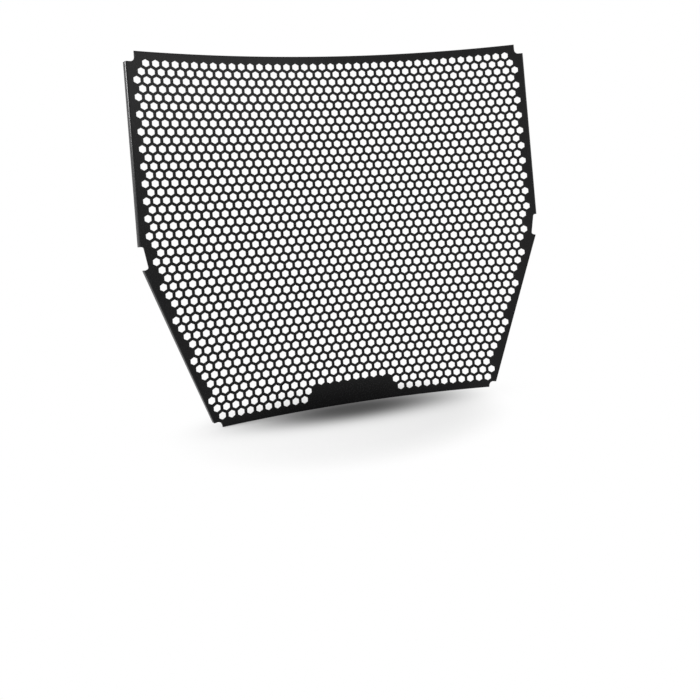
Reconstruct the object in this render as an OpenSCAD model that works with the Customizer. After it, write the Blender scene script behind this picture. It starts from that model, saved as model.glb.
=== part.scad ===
// Motorcycle radiator guard: one laser cut, folded and bent aluminium sheet, perforated with hexagons.
// Seen from the front, X is to the right and Z is up. The front faces -Y.
// The origin is under the bottom flange, in the middle of its length and of its flat depth.

/* [Sheet] */
// Thickness of the sheet
thickness = 1.2; // [0.8:0.1:2]
// Height over the top and bottom flanges
height = 349; // [280:1:380]
// Width over the upper side flanges, along the bend
top_width = 397; // [340:1:430]
// Width over the lower side flanges at the bottom edge, along the bend
bottom_width = 283; // [220:1:320]
// Height of the straight upper sides, from the top edge to the shoulder
shoulder_drop = 190; // [150:1:220]
// Radius of the bend, on the front face
bend_radius = 500; // [380:5:900]

/* [Flanges] */
// Depth of the flanges from the front face
flange_depth = 6; // [4:0.5:14]
// Inside radius of the folds
inner_fold = 0.5; // [0.3:0.1:1.2]
// How far the tips of the top and bottom flanges stand back at their ends
end_setback = 4.5; // [0:0.5:8]

/* [Reliefs] */
// Width of the reliefs at the top corners
top_relief_w = 8.4; // [5:0.1:12]
// Height of the reliefs at the top corners
top_relief_h = 10; // [5:0.1:13]
// Width of the reliefs at the bottom corners
bottom_relief_w = 5.8; // [4.5:0.1:9]
// Height of the reliefs at the bottom corners
bottom_relief_h = 5.5; // [4.5:0.1:9]
// Corner radius of the reliefs at the corners
relief_radius = 4; // [1:0.1:4]
// Depth of the relief at each shoulder
shoulder_relief_d = 5.7; // [4:0.1:8]
// Reach of this relief along the upper fold
shoulder_relief_up = 14.2; // [6:0.1:18]
// Reach of this relief along the slanted fold
shoulder_relief_down = 7.4; // [6:0.1:18]
// Corner radius of this relief
shoulder_radius = 2; // [0.5:0.1:3]

/* [Perforation] */
// Size of a hexagon across its flats
hole_flats = 8.9; // [8.6:0.1:20]
// Width of the web between two hexagons
web = 3.6; // [3.3:0.1:6]
// Least plain margin between the hexagons and the top and bottom edges
edge_margin = 6.6; // [4:0.1:14]
// Least plain margin between the hexagons and the upper side folds
side_margin = 5.9; // [4:0.1:14]
// Least plain margin between the hexagons and the slanted lower folds
slant_margin = 3.4; // [2.5:0.1:14]
// Least plain margin between the hexagons and the reliefs
relief_margin = 1; // [0.5:0.1:5]
// Least width of the plain land at the foot of the sheet
land_w = 80; // [0:1:140]
// Least height of the plain land, from the bottom edge
land_h = 20; // [0:1:40]
// Shift of the plain land to the left
land_shift = 4.5; // [0:0.5:20]

/* [Hidden] */

half_h = height / 2;
half_top = top_width / 2;
half_bottom = bottom_width / 2;
shoulder_z = half_h - shoulder_drop;
slant = atan((half_top - half_bottom) / (shoulder_z + half_h));
outer_fold = thickness + inner_fold;

// The hexagons stand on a vertex, in staggered rows
pitch = hole_flats + web;
hole_radius = hole_flats / sqrt(3);
row_step = pitch * sqrt(3) / 2;
row_count = floor((height - 2 * (edge_margin + hole_radius)) / row_step) + 1;

// How far cuts run past the faces that they open, and past the outline of the blank
clear = 1;
overrun = 8;
cut_depth = 2 * (flange_depth + overrun);

// The bend is made of narrow flats. Each crease crosses the hexagons a quarter of a pitch off their middle
flat_width = 2 * pitch;
first_crease = 0.75 * pitch;
crease_last = ceil((half_top + overrun - first_crease) / flat_width);
half_creases = [for (j = [0:crease_last]) first_crease + j * flat_width];
creases = concat([for (j = [crease_last:-1:0]) -half_creases[j]], half_creases);

// What is cut off beside the folds reaches one flat further
waste_creases = [
    for (s = concat(half_creases, [half_creases[crease_last] + flat_width]))
        if (s > half_bottom - overrun - flat_width) s
];
waste_reach = waste_creases[len(waste_creases) - 1] - half_bottom;

// The rounding of a fold is cut in flats, and its cut comes in from a little in front of the sheet
fold_steps = 3;
run_in = 3;
corner_steps = 4;

// Corners of the two other reliefs, from the bottom corner and from the shoulder
bottom_corner = spun([-bottom_relief_w, bottom_relief_h], -slant / 2);
shoulder_foot = shoulder_relief_d * sin(slant) - shoulder_relief_down;
shoulder_corners = [
    for (z = [shoulder_relief_up, shoulder_foot]) [z * tan(slant / 2) - shoulder_relief_d, z]
];

// The walls of the reliefs that hexagons could come near
relief_walls = [
    [[half_top - top_relief_w, half_h - top_relief_h], [half_top, half_h - top_relief_h]],
    [for (p = shoulder_corners) [half_top, shoulder_z] + p],
    [for (p = [bottom_corner, spun([0, bottom_relief_h], -slant / 2)]) [half_bottom, -half_h] + p]
];

function spun(p, a) = [p[0] * cos(a) - p[1] * sin(a), p[0] * sin(a) + p[1] * cos(a)];

function turn(s) = s / bend_radius * 180 / PI;

// Points of a quarter circle about c, from angle a
function quarter(c, r, a) =
    [for (i = [0:fold_steps]) c + r * [cos(a + 90 * i / fold_steps), sin(a + 90 * i / fold_steps)]];

// Section of the block inside the folds, as depth behind the front face and height
function section(inset) =
    let (r = outer_fold - inset, z = half_h - inset, back = flange_depth + (inset > 0 ? clear : 0))
    concat(
        [[back, -z]],
        [for (i = [fold_steps:-1:0]) quarter([inset + r, r - z], r, 180)[i]],
        [for (i = [fold_steps:-1:0]) quarter([inset + r, z - r], r, 90)[i]],
        [[back, z]]
    );

// A point of the bend, from its distance along the front face, its depth and its height
function laid(s, depth, z) =
    let (r = bend_radius + depth)
    [r * sin(turn(s)), r * cos(turn(s)), z];

// Joins rings of points into a solid. Skewed walls are made of triangles
module lofted(rings, skewed) {
    n = len(rings[0]);
    last = len(rings) - 1;
    walls = [
        for (j = [0:last - 1], i = [0:n - 1])
            [j * n + i, j * n + (i + 1) % n, (j + 1) * n + (i + 1) % n, (j + 1) * n + i]
    ];
    halves = [for (w = walls) each [[w[0], w[1], w[2]], [w[0], w[2], w[3]]]];
    ends = [[for (i = [n - 1:-1:0]) i], [for (i = [0:n - 1]) last * n + i]];
    polyhedron(points = [for (ring = rings) each ring], faces = concat(skewed ? halves : walls, ends));
}

// Stands cuts on the front face, with Y running into the sheet
module on_sheet(s, z) {
    rotate([0, 0, -turn(s)])
        translate([0, bend_radius, z])
            children();
}

// The same, square to the flat that holds the place
module on_flat(s, z) {
    middle = first_crease + (floor((s - first_crease) / flat_width) + 0.5) * flat_width;
    apothem = bend_radius * cos(turn(flat_width / 2));
    rotate([0, 0, -turn(middle)])
        translate([apothem * tan(turn(s - middle)), apothem, z])
            children();
}

// Carries a drawing of the front through the sheet and its flanges
module through() {
    translate([0, cut_depth / 2, 0])
        rotate([90, 0, 0])
            linear_extrude(cut_depth)
                children();
}

// Section of what is cut away outside a fold line, with the outside of the fold rounded,
// as distance out from the line and depth
function waste_section(inset) =
    let (
        r = outer_fold - inset,
        lead = 90 / fold_steps / 2,
        tail = [-r - run_in * cos(lead), -run_in * sin(lead)],
        arc = quarter([-r, r], r, -90),
        far = waste_reach,
        deep = cut_depth / 2,
        around = [[0, deep], [far, deep], [far, -deep], [tail[0], -deep]]
    )
    [for (q = concat([tail], arc, around)) q + [-inset, inset]];

// Both sides are trimmed to a vertical fold line above the shoulder and a slanted one below it.
// The slanted waste is drawn where its line crosses each crease
module side_waste(inset) {
    rings = [
        for (s = waste_creases)
            let (line_z = shoulder_z + (s - half_top) / tan(slant))
            [for (q = waste_section(inset)) laid(s, q[1], line_z - q[0] / sin(slant))]
    ];
    for (m = [0, 1])
        mirror([m, 0, 0]) {
            on_flat(half_top, shoulder_z)
                linear_extrude(shoulder_drop + clear)
                    polygon(waste_section(inset));
            lofted(rings, true);
        }
}

module block(inset) {
    difference() {
        lofted([for (s = creases) [for (q = section(inset)) laid(s, q[0], q[1])]], false);
        side_waste(inset);
    }
}

// Rounds the corners of a drawing of points. Each corner has its own radius, or 0 to stay sharp
function rounded(corners, radii) = [
    for (i = [0:len(corners) - 1])
        let (
            p = corners[i],
            n = len(corners),
            u = corners[(i + n - 1) % n] - p,
            v = corners[(i + 1) % n] - p,
            a = u / norm(u),
            b = v / norm(v),
            half = acos(a * b) / 2,
            reach_in = radii[i] / tan(half),
            c = p + (a + b) / norm(a + b) * radii[i] / sin(half),
            p0 = p + a * reach_in,
            p1 = p + b * reach_in
        )
        each radii[i] == 0 ? [p] : [
            for (k = [0:corner_steps])
                let (w = k / corner_steps, q = p0 * (1 - w) + p1 * w - c)
                c + q / norm(q) * radii[i]
        ]
];

// What is cut at a corner of the blank, drawn for a lower corner: a relief through the sheet,
// and the slope at the end of the horizontal flange
module corner_cut(w, h, lean) {
    back = flange_depth + clear;
    run = end_setback * (back - thickness) / (flange_depth - thickness);
    through()
        rotate(-lean)
            polygon(rounded(
                [[-w, -overrun], [-w, h], [overrun, h], [overrun, -overrun]],
                [0, relief_radius, 0, 0]
            ));
    translate([-w, 0, -clear])
        linear_extrude(outer_fold + clear)
            polygon([[0, thickness], [-run, back], [clear, back], [clear, thickness]]);
}

// The relief where the side fold changes direction. Its ends are square to the two folds
module shoulder_relief() {
    low = -(shoulder_relief_down + overrun * sin(slant)) / cos(slant);
    polygon(rounded(
        concat([[overrun, shoulder_relief_up]], shoulder_corners, [[overrun, low]]),
        [0, shoulder_radius, shoulder_radius, 0]
    ));
}

module reliefs() {
    for (m = [0, 1])
        mirror([m, 0, 0]) {
            on_sheet(half_top, half_h)
                mirror([0, 0, 1])
                    corner_cut(top_relief_w, top_relief_h, 0);
            on_sheet(half_bottom, -half_h)
                corner_cut(bottom_relief_w, bottom_relief_h, slant / 2);
            on_sheet(half_top, shoulder_z)
                through()
                    shoulder_relief();
        }
}

// Half of the sheet's width at height z, out to the side folds
function half_width(z) = min(half_top, half_top + (z - shoulder_z) * tan(slant));

// Distance from a point to the line between two others
function gap(p, a, b) = norm(p - a - (b - a) * max(0, min(1, (p - a) * (b - a) / ((b - a) * (b - a)))));

// Is there room for a hexagon about this point?
function fits(s, z) =
    let (
        side = half_top - side_margin - hole_flats / 2,
        slanted = half_width(z) - (slant_margin + hole_flats / 2) / cos(slant),
        nearest = min([for (w = relief_walls) gap([abs(s), z], w[0], w[1])]),
        off_reliefs = nearest > hole_radius + relief_margin,
        beside_land = abs(s + land_shift) > (land_w + hole_flats) / 2,
        above_land = z > land_h - half_h + hole_radius
    )
    abs(s) <= side && (z > shoulder_z || abs(s) <= slanted) && off_reliefs && (beside_land || above_land);

module hexagon(s, z) {
    on_sheet(s, z)
        translate([0, thickness + clear, 0])
            rotate([90, 30, 0])
                cylinder(r = hole_radius, h = thickness + 2 * clear, $fn = 6);
}

module perforation() {
    half_count = ceil(half_top / pitch);
    for (row = [0:row_count - 1]) {
        z = (row - (row_count - 1) / 2) * row_step;
        shift = row % 2 == row_count % 2 ? 0.5 : 0;
        for (k = [-half_count:half_count])
            if (fits((k + shift) * pitch, z))
                hexagon((k + shift) * pitch, z);
    }
}

module tray() {
    difference() {
        block(0);
        block(thickness);
        reliefs();
    }
}

module guard() {
    color([0.13, 0.13, 0.135])
        translate([0, -bend_radius - (outer_fold + flange_depth) / 2, half_h])
            difference() {
                tray();
                perforation();
            }
}

guard();
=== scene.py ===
# The look of the motorcycle radiator guard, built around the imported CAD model, in metres.
# The sheet is drawn flat, in millimetres, as (s, d, z): s along the bend from the middle, d behind
# the front face, and z up from mid height. Then it is laid on the bend.
import math

import bpy
from mathutils import Matrix, Vector
from mathutils.geometry import delaunay_2d_cdt


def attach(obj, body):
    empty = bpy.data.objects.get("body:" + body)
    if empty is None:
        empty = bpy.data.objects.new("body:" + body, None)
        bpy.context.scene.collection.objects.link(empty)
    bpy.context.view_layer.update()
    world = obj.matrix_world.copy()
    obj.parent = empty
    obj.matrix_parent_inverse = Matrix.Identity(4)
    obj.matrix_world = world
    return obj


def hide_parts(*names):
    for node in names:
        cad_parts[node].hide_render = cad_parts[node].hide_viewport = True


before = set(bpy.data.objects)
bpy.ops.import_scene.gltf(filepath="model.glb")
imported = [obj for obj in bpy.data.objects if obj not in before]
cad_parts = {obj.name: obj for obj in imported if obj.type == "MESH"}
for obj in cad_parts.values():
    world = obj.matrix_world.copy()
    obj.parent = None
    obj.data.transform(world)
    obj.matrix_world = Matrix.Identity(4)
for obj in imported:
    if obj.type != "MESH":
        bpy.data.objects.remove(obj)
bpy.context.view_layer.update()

# Sizes in millimetres, the same as in the CAD source
MM = 0.001
THICKNESS = 1.2
HEIGHT = 349
TOP_WIDTH = 397
BOTTOM_WIDTH = 283
SHOULDER_DROP = 190
BEND_RADIUS = 500
FLANGE_DEPTH = 6
END_SETBACK = 4.5
INNER_FOLD = 0.5
OUTER_FOLD = THICKNESS + INNER_FOLD
TOP_RELIEF_W, TOP_RELIEF_H = 8.4, 10
BOTTOM_RELIEF_W, BOTTOM_RELIEF_H = 5.8, 5.5
RELIEF_RADIUS = 4
SHOULDER_RELIEF_D, SHOULDER_RELIEF_UP, SHOULDER_RELIEF_DOWN = 5.7, 14.2, 7.4
SHOULDER_RELIEF_RADIUS = 2
HALF_H = HEIGHT / 2
HALF_TOP = TOP_WIDTH / 2
HALF_BOTTOM = BOTTOM_WIDTH / 2
SHOULDER_Z = HALF_H - SHOULDER_DROP
SLANT = math.atan((HALF_TOP - HALF_BOTTOM) / (SHOULDER_Z + HALF_H))

# The perforation as the real sheet has it. The limits keep it clear of the folds, the land is the
# plain place at the foot, one place, as (s, row), is blank as in the photograph, and the circles
# to keep out of, as (s, z, radius), lie at the reliefs.
PITCH = 9.0
HOLE_FLATS = 6.3
ROW_STEP = PITCH * math.sqrt(3) / 2
ROWS = 43
HALF_PITCHES = 44
SIDE_LIMIT = 21.0 * PITCH
SLANT_LIMIT = 0.77 * PITCH
LAND_S, LAND_HALF, LAND_TOP = -0.5 * PITCH, 4.75 * PITCH, -17.0 * PITCH
BLANK = (16.0 * PITCH, 40)
KEEP_OUT = (
    (21.6 * PITCH, 18.9 * PITCH, 1.0 * PITCH),
    (21.7 * PITCH, -1.2 * PITCH, 1.0 * PITCH),
    (21.7 * PITCH, -2.9 * PITCH, 1.4 * PITCH),
)

# Fineness of the mesh: the softening of cut edges and the share of it at a flange's tip, the
# length of a facet along a flange, the steps round a fold and round a relief's corner, the length
# of a flange's end that leans, the reach of cut lines past the sheet, and the welding of points
EDGE = 0.15
TIP_SHARE = 0.4
STATION = 4.5
FOLD_STEPS = 6
ROUND_STEPS = 8
END_ZONE = 20
PAST, FAR = 8, 40
WELDS_PER_METRE = 1e7
MERGE = 1e-5

# The camera and the lamps, in metres: a lamp's name, place, target, width and height, and watts
CAMERA_AT, CAMERA_AIM = Vector((-0.1544, -0.7197, 0.1756)), Vector((0.0431, -0.0039, 0.1850))
CAMERA_LENS, CAMERA_LEAN, CAMERA_SHIFT = 37.43, -4.77, (-0.0494, -0.1929)
SENSOR = 36
LAMPS = (
    ("back_box", (-0.5, 1.1, 1.3), (0, 0, 0.1), (1.2, 0.8), 4),
    ("left_box", (-1.0, -0.52, 0.55), (-0.19, -0.04, 0.22), (0.9, 0.75), 7),
    ("left_strip", (-1.1, -0.2, 0.56), (-0.19, -0.04, 0.3), (0.5, 0.25), 28),
    ("right_side", (1.1, -0.55, 0.5), (0.1, 0, 0.2), (0.7, 0.7), 5),
    ("right_box", (0.6, -1.1, 0.75), (-0.1, 0, 0.33), (0.7, 0.6), 2.3),
)

# The floor, in metres: its half side and its grey, the oval inside which it is not all white to
# the camera and its white is dimmed as painted shade, and the painted shadow, a soft dark pool in
# front of the foot
FLOOR_HALF = 12.0
FLOOR_GREY = 0.62
GREY_AT, GREY_RADII = (-0.025, -0.05), (0.10, 0.10)
# The painted shadow: a soft dark oval painted on the floor in front of the foot
PAINTED_SHADOW_AT, PAINTED_SHADOW_RADII = (-0.0106, -0.0250), (0.1003, 0.0450)
PAINTED_SHADOW_STEEPNESS, PAINTED_SHADOW_DEPTH = 3.0, 0.885


def place(s, d, z):
    """A flat point of the sheet, laid on the bend, in the row frame."""
    a = s / BEND_RADIUS
    r = BEND_RADIUS + d
    back = BEND_RADIUS + (OUTER_FOLD + FLANGE_DEPTH) / 2
    return Vector((r * math.sin(a), r * math.cos(a) - back, z + HALF_H)) * MM


def turned(s, normal):
    """A direction given as (along s, along d, up), turned with the bend at s."""
    a = s / BEND_RADIUS
    ns, nd, nz = normal
    return Vector(
        (
            ns * math.cos(a) + nd * math.sin(a),
            nd * math.cos(a) - ns * math.sin(a),
            nz,
        )
    ).normalized()


class Skin:
    """Collects faces whose corners are (flat point, flat normal), and welds their corners."""

    def __init__(self):
        self.index, self.points, self.faces, self.normals = {}, [], [], []

    def vertex(self, flat):
        p = place(*flat)
        key = tuple(round(c * WELDS_PER_METRE) for c in p)
        if key not in self.index:
            self.index[key] = len(self.points)
            self.points.append(p)
        return self.index[key]

    def face(self, corners):
        ids = [self.vertex(flat) for flat, _ in corners]
        normals = [turned(flat[0], normal) for flat, normal in corners]
        if len(set(ids)) < 3:
            return
        a, b, c = (self.points[i] for i in ids[:3])
        if (b - a).cross(c - a).dot(sum(normals, Vector())) < 0:
            ids.reverse()
            normals.reverse()
        self.faces.append(ids)
        self.normals.extend(normals)

    def strip(self, first, second):
        """A band of quads between two equal rows of corners."""
        for i in range(len(first) - 1):
            self.face([first[i], first[i + 1], second[i + 1], second[i]])

    def build(self, name):
        mesh = bpy.data.meshes.new(name)
        mesh.from_pydata(self.points, [], self.faces)
        mesh.shade_smooth()
        mesh.normals_split_custom_set(self.normals)
        mesh.validate()
        piece = bpy.data.objects.new(name, mesh)
        bpy.context.scene.collection.objects.link(piece)
        return piece


def rounded(corners, radii):
    """A polyline with its corners rounded."""
    out = [corners[0]]
    for i in range(1, len(corners) - 1):
        p = Vector(corners[i])
        a = (Vector(corners[i - 1]) - p).normalized()
        b = (Vector(corners[i + 1]) - p).normalized()
        half = a.angle(b) / 2
        centre = p + (a + b).normalized() * radii[i] / math.sin(half)
        p0, p1 = (p + a * radii[i] / math.tan(half), p + b * radii[i] / math.tan(half))
        for k in range(ROUND_STEPS + 1):
            w = k / ROUND_STEPS
            q = p0 * (1 - w) + p1 * w - centre
            out.append(tuple(centre + q.normalized() * radii[i]))
    out.append(corners[-1])
    return out


def half_width(z):
    """Distance from the middle to the outside of the side flange, along the bend."""
    return min(HALF_TOP, HALF_TOP + (z - SHOULDER_Z) * math.tan(SLANT))


def beyond_top(p):
    return p[1] - (HALF_H - OUTER_FOLD)


def beyond_bottom(p):
    return -(HALF_H - OUTER_FOLD) - p[1]


def beyond_side(p):
    return p[0] - (HALF_TOP - OUTER_FOLD)


def beyond_slant(p):
    fold = HALF_TOP + (p[1] - SHOULDER_Z) * math.tan(SLANT)
    return p[0] - (fold - OUTER_FOLD / math.cos(SLANT))


def crossing(p, q, beyond):
    """Where the line from p to q meets the start of a fold."""
    u, v = beyond(p), beyond(q)
    return tuple(Vector(p).lerp(Vector(q), u / (u - v)))


def clipped(line, start, end):
    """The part of a cut line that lies on the panel, between the starts of two folds.
    Also gives the direction in which it leaves over each fold."""
    line = [Vector(p) for p in line]
    first = next(i for i, p in enumerate(line) if start(p) < 0) - 1
    last = next(i for i, p in enumerate(line) if i > first and end(p) > 0)
    points = [crossing(line[first], line[first + 1], start)]
    points += [tuple(p) for p in line[first + 1 : last]]
    points.append(crossing(line[last - 1], line[last], end))
    return points, (line[first] - line[first + 1]), (line[last] - line[last - 1])


def notch(corner, line, radii, start, end, lean=0):
    """A relief, drawn from a corner of the blank, laid on the sheet and clipped to the panel."""
    turn = Matrix.Rotation(-lean, 2)
    line = [tuple(Vector(corner) + turn @ Vector(p)) for p in line]
    return clipped(rounded(line, radii), start, end)


def bottom_notch():
    w, h = BOTTOM_RELIEF_W, BOTTOM_RELIEF_H
    line = [(-w, -PAST), (-w, h), (FAR, h)]
    corner, radii = (HALF_BOTTOM, -HALF_H), [0, RELIEF_RADIUS, 0]
    return notch(corner, line, radii, beyond_bottom, beyond_slant, SLANT / 2)


def shoulder_notch():
    """Its ends are square to the two side folds."""
    d, up, down = SHOULDER_RELIEF_D, SHOULDER_RELIEF_UP, SHOULDER_RELIEF_DOWN
    r = SHOULDER_RELIEF_RADIUS
    foot = d * math.sin(SLANT) - down
    inner = [(z * math.tan(SLANT / 2) - d, z) for z in (foot, up)]
    low = -(down + PAST * math.sin(SLANT)) / math.cos(SLANT)
    line = [(PAST, low), *inner, (PAST, up)]
    corner = (HALF_TOP, SHOULDER_Z)
    return notch(corner, line, [0, r, r, 0], beyond_slant, beyond_side)


def top_notch():
    w, h = TOP_RELIEF_W, TOP_RELIEF_H
    line = [(FAR, -h), (-w, -h), (-w, PAST)]
    radii = [0, RELIEF_RADIUS, 0]
    return notch((HALF_TOP, HALF_H), line, radii, beyond_side, beyond_top)


def mirrored(notch):
    points, leave_start, leave_end = notch
    flip = Vector((-1, 1))
    points = [(-s, z) for s, z in reversed(points)]
    return points, leave_end * flip, leave_start * flip


def outline():
    """The edge of the flat panel as a ring of folds and notches in turn, anticlockwise.
    A fold is (start, end, outward, how its ends lean). A notch is a list of points."""
    right = [bottom_notch(), shoulder_notch(), top_notch()]
    notches = right + [mirrored(n) for n in reversed(right)]
    slanted = Vector((math.cos(SLANT), -math.sin(SLANT)))
    outward = [
        Vector((0, -1)),
        slanted,
        Vector((1, 0)),
        Vector((0, 1)),
        Vector((-1, 0)),
        slanted * Vector((-1, 1)),
    ]
    folds = []
    for i, out in enumerate(outward):
        before, after = notches[i - 1], notches[i]
        start, end = Vector(before[0][-1]), Vector(after[0][0])
        along = (end - start).normalized()
        leave_start, leave_end = before[2], after[1]
        lean_start = leave_start.dot(along) / leave_start.dot(out)
        lean_end = leave_end.dot(along) / leave_end.dot(out)
        folds.append((start, end, out, lean_start, lean_end))
    return folds, [n[0] for n in notches]


def profile(inset):
    """Section of a flange as (out, d, normal out, normal d), from the front face round its tip to
    the back face. The first half matches the second half, point for point. An inset section ends
    the flange softly."""
    outer, inner = [], []
    for k in range(FOLD_STEPS + 1):
        a = math.pi / 2 * k / FOLD_STEPS
        si, co = math.sin(a), math.cos(a)
        for chain, r, way in (
            (outer, OUTER_FOLD - inset, 1),
            (inner, INNER_FOLD + inset, -1),
        ):
            chain.append((r * si, OUTER_FOLD - r * co, way * si, -way * co))
    soft = EDGE + TIP_SHARE * inset
    outer.append((OUTER_FOLD - inset, FLANGE_DEPTH - soft, 1, 0))
    inner.append((INNER_FOLD + inset, FLANGE_DEPTH - soft, -1, 0))
    outer.append((OUTER_FOLD - soft, FLANGE_DEPTH - inset, 0, 1))
    inner.append((INNER_FOLD + soft, FLANGE_DEPTH - inset, 0, 1))
    return outer + inner[::-1]


def flange(skin, start, end, out, lean_start, lean_end):
    """One folded flange. Returns the points of the panel's edge that it grows from."""
    along = (end - start).normalized()
    length = (end - start).length
    count = max(2, round(length / STATION))
    full, soft = profile(0), profile(EDGE)
    level = abs(out.x) < 1e-6
    slope = END_SETBACK / (FLANGE_DEPTH - THICKNESS) if level else 0

    def row(position, section, lean, way=0):
        corners = []
        near_start = max(0, 1 - position / END_ZONE)
        near_end = max(0, 1 - (length - position) / END_ZONE)
        for o, d, no, nd in section:
            back = slope * max(0, d - THICKNESS) * (near_start - near_end)
            p = start + along * (position + lean * o + back) + out * o
            n = (no * out.x, nd, no * out.y)
            if way:
                n = (way * along.x, slope if d > THICKNESS else 0, way * along.y)
            corners.append(((p.x, d, p.y), n))
        return corners

    stops = [EDGE + (length - 2 * EDGE) * k / count for k in range(count + 1)]
    rows = []
    for k, stop in enumerate(stops):
        lean = lean_start if k == 0 else lean_end if k == count else 0
        rows.append(row(stop, full, lean))
    for a, b in zip(rows, rows[1:]):
        skin.strip(a, b)
    for edge_row, position, lean, way in (
        (rows[0], 0, lean_start, -1),
        (rows[-1], length, lean_end, 1),
    ):
        cap = row(position, soft, lean, way)
        skin.strip(edge_row, cap)
        half = len(cap) // 2
        skin.strip(cap[:half], cap[: half - 1 : -1])
    return [start + along * stop for stop in stops]


def cut_edge(skin, points, rim_start, rim_end):
    """The softened wall along a notch. Returns the points of the panel's edge inside it."""
    points = [Vector(p) for p in points]
    last = len(points) - 1
    normals = []
    for i in range(last + 1):
        step = points[min(i + 1, last)] - points[max(i - 1, 0)]
        normals.append(Vector((step.y, -step.x)).normalized())
    rim = [p - n * EDGE for p, n in zip(points, normals)]
    rim[0], rim[-1] = rim_start, rim_end
    wall = [(n.x, 0, n.y) for n in normals]
    for d_rim, d_wall, face in (
        (0, EDGE, (0, -1, 0)),
        (THICKNESS, THICKNESS - EDGE, (0, 1, 0)),
    ):
        skin.strip(
            [((p.x, d_rim, p.y), face) for p in rim],
            [((p.x, d_wall, p.y), n) for p, n in zip(points, wall)],
        )
    skin.strip(
        [((p.x, EDGE, p.y), n) for p, n in zip(points, wall)],
        [((p.x, THICKNESS - EDGE, p.y), n) for p, n in zip(points, wall)],
    )
    return rim[1:-1]


def hole_places():
    """Centres of the hexagons, and of the places that the plain land leaves blank."""
    holes, land = [], []
    for row in range(ROWS):
        z = ((ROWS - 1) / 2 - row) * ROW_STEP
        for half in range(-HALF_PITCHES, HALF_PITCHES + 1):
            if half % 2 != row % 2:
                continue
            s = half * PITCH / 2
            slanted = half_width(z) - SLANT_LIMIT if z < SHOULDER_Z else SIDE_LIMIT
            if abs(s) > min(SIDE_LIMIT, slanted) or (s, row) == BLANK:
                continue
            if any(math.hypot(abs(s) - ks, z - kz) < r for ks, kz, r in KEEP_OUT):
                continue
            on_land = abs(s - LAND_S) < LAND_HALF and z < LAND_TOP
            (land if on_land else holes).append((s, z))
    return holes, land


def hexagon(skin, s, z):
    """The softened walls of one hexagonal hole. Returns its corners on the sheet's faces."""
    angles = [math.radians(30 + 60 * k) for k in range(6)]
    r = HOLE_FLATS / math.sqrt(3)
    wide = r + EDGE * 2 / math.sqrt(3)
    inner = [(s + r * math.cos(a), z + r * math.sin(a)) for a in angles]
    rim = [(s + wide * math.cos(a), z + wide * math.sin(a)) for a in angles]
    for k in range(6):
        j = (k + 1) % 6
        middle = angles[k] + math.radians(30)
        n = (-math.cos(middle), 0, -math.sin(middle))
        front, back = (0, -1, 0), (0, 1, 0)
        levels = (
            (rim, 0, front),
            (inner, EDGE, n),
            (inner, THICKNESS - EDGE, n),
            (rim, THICKNESS, back),
        )
        rows = [
            [((ring[i][0], d, ring[i][1]), normal) for i in (k, j)]
            for ring, d, normal in levels
        ]
        for a, b in zip(rows, rows[1:]):
            skin.strip(a, b)
    return rim


def guard():
    """The folded, bent and perforated sheet as one mesh."""
    skin = Skin()
    folds, notches = outline()
    edges = [flange(skin, *fold) for fold in folds]
    loop = []
    for i, notch in enumerate(notches):
        after = edges[(i + 1) % len(edges)]
        loop += edges[i]
        loop += cut_edge(skin, notch, edges[i][-1], after[0])
    holes, land = hole_places()
    flat = [tuple(p) for p in loop]
    lines = [(i, (i + 1) % len(flat)) for i in range(len(flat))]
    owner = [-1] * len(flat)
    for number, (s, z) in enumerate(holes):
        first = len(flat)
        flat += hexagon(skin, s, z)
        lines += [(first + k, first + (k + 1) % 6) for k in range(6)]
        owner += [number] * 6
    flat += land
    owner += [-1] * len(land)
    corners = [Vector(p) for p in flat]
    _, _, faces, origin, _, _ = delaunay_2d_cdt(corners, lines, [], 1, MERGE)
    for face in faces:
        ids = [origin[i][0] for i in face]
        owners = {owner[i] for i in ids}
        if len(owners) == 1 and owners != {-1}:
            continue
        for d, normal in ((0, (0, -1, 0)), (THICKNESS, (0, 1, 0))):
            skin.face([((flat[i][0], d, flat[i][1]), normal) for i in ids])
    return skin.build("guard_sheet")


def node(tree, kind, **inputs):
    """A shader node with its inputs set. Spaces in their names are written as underlines."""
    made = tree.nodes.new(kind)
    for name, value in inputs.items():
        made.inputs[name.replace("_", " ")].default_value = value
    return made


def powder_coat():
    """Satin black powder coat, with a fine orange peel and a faint unevenness."""
    material = bpy.data.materials.new("satin_powder_coat")
    material.use_nodes = True
    tree = material.node_tree
    tree.nodes.clear()
    link = tree.links.new
    out = node(tree, "ShaderNodeOutputMaterial")
    shader = node(tree, "ShaderNodeBsdfPrincipled", Specular_IOR_Level=0.13)
    place_of = node(tree, "ShaderNodeTexCoord")

    cloud = node(tree, "ShaderNodeTexNoise", Scale=22.0, Detail=3.0, Roughness=0.55)
    link(place_of.outputs["Object"], cloud.inputs["Vector"])
    grain = node(tree, "ShaderNodeTexNoise", Scale=900.0, Detail=2.0, Roughness=0.5)
    link(place_of.outputs["Object"], grain.inputs["Vector"])

    colour = node(tree, "ShaderNodeValToRGB")
    dark, pale = colour.color_ramp.elements
    dark.position, dark.color = 0.3, (0.0040, 0.0040, 0.0042, 1)
    pale.position, pale.color = 0.7, (0.0060, 0.0060, 0.0063, 1)
    link(cloud.outputs["Fac"], colour.inputs["Fac"])
    link(colour.outputs["Color"], shader.inputs["Base Color"])

    gloss = node(tree, "ShaderNodeMapRange", From_Min=0.3, From_Max=0.7, To_Min=0.22, To_Max=0.30)
    link(grain.outputs["Fac"], gloss.inputs["Value"])
    link(gloss.outputs["Result"], shader.inputs["Roughness"])

    bump = node(tree, "ShaderNodeBump", Strength=0.1, Distance=0.00004)
    link(grain.outputs["Fac"], bump.inputs["Height"])
    link(bump.outputs["Normal"], shader.inputs["Normal"])
    link(shader.outputs["BSDF"], out.inputs["Surface"])
    return material


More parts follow.
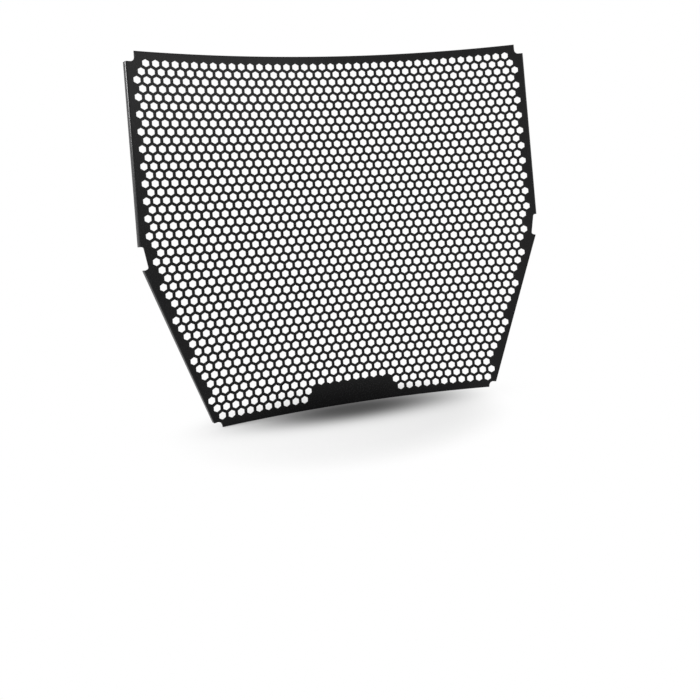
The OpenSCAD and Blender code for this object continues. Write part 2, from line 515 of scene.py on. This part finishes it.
def ranged(tree, low, high, start, end):
    """A smooth step from start, at low, to end, at high."""
    limits = {"From_Min": low, "From_Max": high, "To_Min": start, "To_Max": end}
    made = node(tree, "ShaderNodeMapRange", **limits)
    made.interpolation_type = "SMOOTHSTEP"
    return made


def math_node(tree, operation, second=None):
    """A calculation on one or two numbers, the second of which may be set here."""
    made = node(tree, "ShaderNodeMath")
    made.operation = operation
    if second is not None:
        made.inputs[1].default_value = second
    return made


def seen_plainly(tree):
    """1 for the rays that see the white surroundings: the camera's, and those that metal reflects
    or glass lets through."""
    path = node(tree, "ShaderNodeLightPath")
    first, second = (math_node(tree, "MAXIMUM") for _ in range(2))
    tree.links.new(path.outputs["Is Camera Ray"], first.inputs[0])
    tree.links.new(path.outputs["Is Glossy Ray"], first.inputs[1])
    tree.links.new(first.outputs["Value"], second.inputs[0])
    tree.links.new(path.outputs["Is Transmission Ray"], second.inputs[1])
    return second.outputs["Value"]


def oval(tree, centre, radii):
    """Distance from a place on the floor, which is 1 on an ellipse round it."""
    place_of = node(tree, "ShaderNodeTexCoord")
    scaled = node(tree, "ShaderNodeMapping", Location=(*centre, 0), Scale=(*radii, 1))
    scaled.vector_type = "TEXTURE"
    length = node(tree, "ShaderNodeVectorMath")
    length.operation = "LENGTH"
    tree.links.new(place_of.outputs["Object"], scaled.inputs["Vector"])
    tree.links.new(scaled.outputs["Vector"], length.inputs[0])
    return length.outputs["Value"]


def floor():
    """A pale floor that keeps the shadow of the guard, and is white to the camera further out.
    Near the guard its white is dimmed as painted shade; in front of the foot lies a painted
    shadow."""
    mesh = bpy.data.meshes.new("floor")
    side = FLOOR_HALF
    mesh.from_pydata(
        [(-side, -side, 0), (side, -side, 0), (side, side, 0), (-side, side, 0)],
        [],
        [(0, 1, 2, 3)],
    )
    made = bpy.data.objects.new("floor", mesh)
    bpy.context.scene.collection.objects.link(made)
    material = bpy.data.materials.new("pale_floor")
    material.use_nodes = True
    tree = material.node_tree
    tree.nodes.clear()
    link = tree.links.new
    out = node(tree, "ShaderNodeOutputMaterial")
    seen = seen_plainly(tree)

    paint = node(tree, "ShaderNodeBsdfDiffuse", Color=(*[FLOOR_GREY] * 3, 1))
    white = node(tree, "ShaderNodeEmission", Color=(1, 1, 1, 1))
    reach = oval(tree, GREY_AT, GREY_RADII)
    share = ranged(tree, 0.9, 1.6, 0.45, 1.0)
    # Painted shade: near the guard the white that the camera sees is dimmed to 0.85, so the floor
    # is darker round the guard
    level = ranged(tree, 0.9, 1.6, 0.85, 1.0)
    white_share = math_node(tree, "MULTIPLY")
    ground = node(tree, "ShaderNodeMixShader")
    link(reach, share.inputs["Value"])
    link(reach, level.inputs["Value"])
    link(level.outputs["Result"], white.inputs["Strength"])
    link(share.outputs["Result"], white_share.inputs[0])
    link(seen, white_share.inputs[1])
    link(white_share.outputs["Value"], ground.inputs["Fac"])
    link(paint.outputs["BSDF"], ground.inputs[1])
    link(white.outputs["Emission"], ground.inputs[2])

    # Painted shadow: the floor is darkened towards black in a soft oval in front of the foot, for
    # camera and reflected rays only
    away = oval(tree, PAINTED_SHADOW_AT, PAINTED_SHADOW_RADII)
    steep = math_node(tree, "POWER", PAINTED_SHADOW_STEEPNESS)
    fade = math_node(tree, "MULTIPLY", -1.0)
    painted_shadow = math_node(tree, "EXPONENT")
    depth = math_node(tree, "MULTIPLY", PAINTED_SHADOW_DEPTH)
    painted_shadow_share = math_node(tree, "MULTIPLY")
    painted_shadow_black = node(tree, "ShaderNodeEmission", Color=(0, 0, 0, 1), Strength=0.0)
    whole = node(tree, "ShaderNodeMixShader")
    link(away, steep.inputs[0])
    link(steep.outputs["Value"], fade.inputs[0])
    link(fade.outputs["Value"], painted_shadow.inputs[0])
    link(painted_shadow.outputs["Value"], depth.inputs[0])
    link(depth.outputs["Value"], painted_shadow_share.inputs[0])
    link(seen, painted_shadow_share.inputs[1])
    link(painted_shadow_share.outputs["Value"], whole.inputs["Fac"])
    link(ground.outputs["Shader"], whole.inputs[1])
    link(painted_shadow_black.outputs["Emission"], whole.inputs[2])
    link(whole.outputs["Shader"], out.inputs["Surface"])
    mesh.materials.append(material)


def surroundings():
    """White to the camera and in reflections. Its light is that of a studio which is bright
    behind, and dim in front and overhead."""
    world = bpy.data.worlds.new("studio")
    bpy.context.scene.world = world
    world.use_nodes = True
    tree = world.node_tree
    tree.nodes.clear()
    link = tree.links.new
    out = node(tree, "ShaderNodeOutputWorld")
    place_of = node(tree, "ShaderNodeTexCoord")
    split = node(tree, "ShaderNodeSeparateXYZ")
    behind = ranged(tree, -0.75, 0.35, 0.18, 0.8)
    overhead = ranged(tree, 0.3, 0.9, 1.0, 0.3)
    level = math_node(tree, "MULTIPLY")
    white = node(tree, "ShaderNodeBackground", Color=(1, 1, 1, 1), Strength=1.0)
    studio = node(tree, "ShaderNodeBackground", Color=(1, 1, 1, 1))
    mix = node(tree, "ShaderNodeMixShader")
    link(place_of.outputs["Generated"], split.inputs["Vector"])
    link(split.outputs["Y"], behind.inputs["Value"])
    link(split.outputs["Z"], overhead.inputs["Value"])
    link(behind.outputs["Result"], level.inputs[0])
    link(overhead.outputs["Result"], level.inputs[1])
    link(level.outputs["Value"], studio.inputs["Strength"])
    link(seen_plainly(tree), mix.inputs["Fac"])
    link(studio.outputs["Background"], mix.inputs[1])
    link(white.outputs["Background"], mix.inputs[2])
    link(mix.outputs["Shader"], out.inputs["Surface"])


def lamp(name, at, to, size, power):
    """A rectangular soft box at one place, turned to another."""
    light = bpy.data.lights.new(name, "AREA")
    light.shape = "RECTANGLE"
    light.size, light.size_y = size
    light.energy = power
    made = bpy.data.objects.new(name, light)
    made.location = at
    made.rotation_mode = "QUATERNION"
    made.rotation_quaternion = (Vector(to) - Vector(at)).to_track_quat("-Z", "Y")
    bpy.context.scene.collection.objects.link(made)


def camera():
    """The photograph's viewpoint: low on the left, leaning a little, with the picture shifted."""
    data = bpy.data.cameras.new("camera")
    data.sensor_width = SENSOR
    data.lens = CAMERA_LENS
    data.shift_x, data.shift_y = CAMERA_SHIFT
    made = bpy.data.objects.new("camera", data)
    made.location = CAMERA_AT
    made.rotation_mode = "QUATERNION"
    level = (CAMERA_AIM - CAMERA_AT).to_track_quat("-Z", "Y")
    lean = Matrix.Rotation(math.radians(CAMERA_LEAN), 3, "Z").to_quaternion()
    made.rotation_quaternion = level @ lean
    bpy.context.scene.collection.objects.link(made)
    bpy.context.scene.camera = made


camera()
surroundings()
floor()
for settings in LAMPS:
    lamp(*settings)

sheet = guard()
sheet.data.materials.append(powder_coat())
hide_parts("guard")
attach(sheet, "root")

bpy.context.scene.view_settings.view_transform = "Standard"
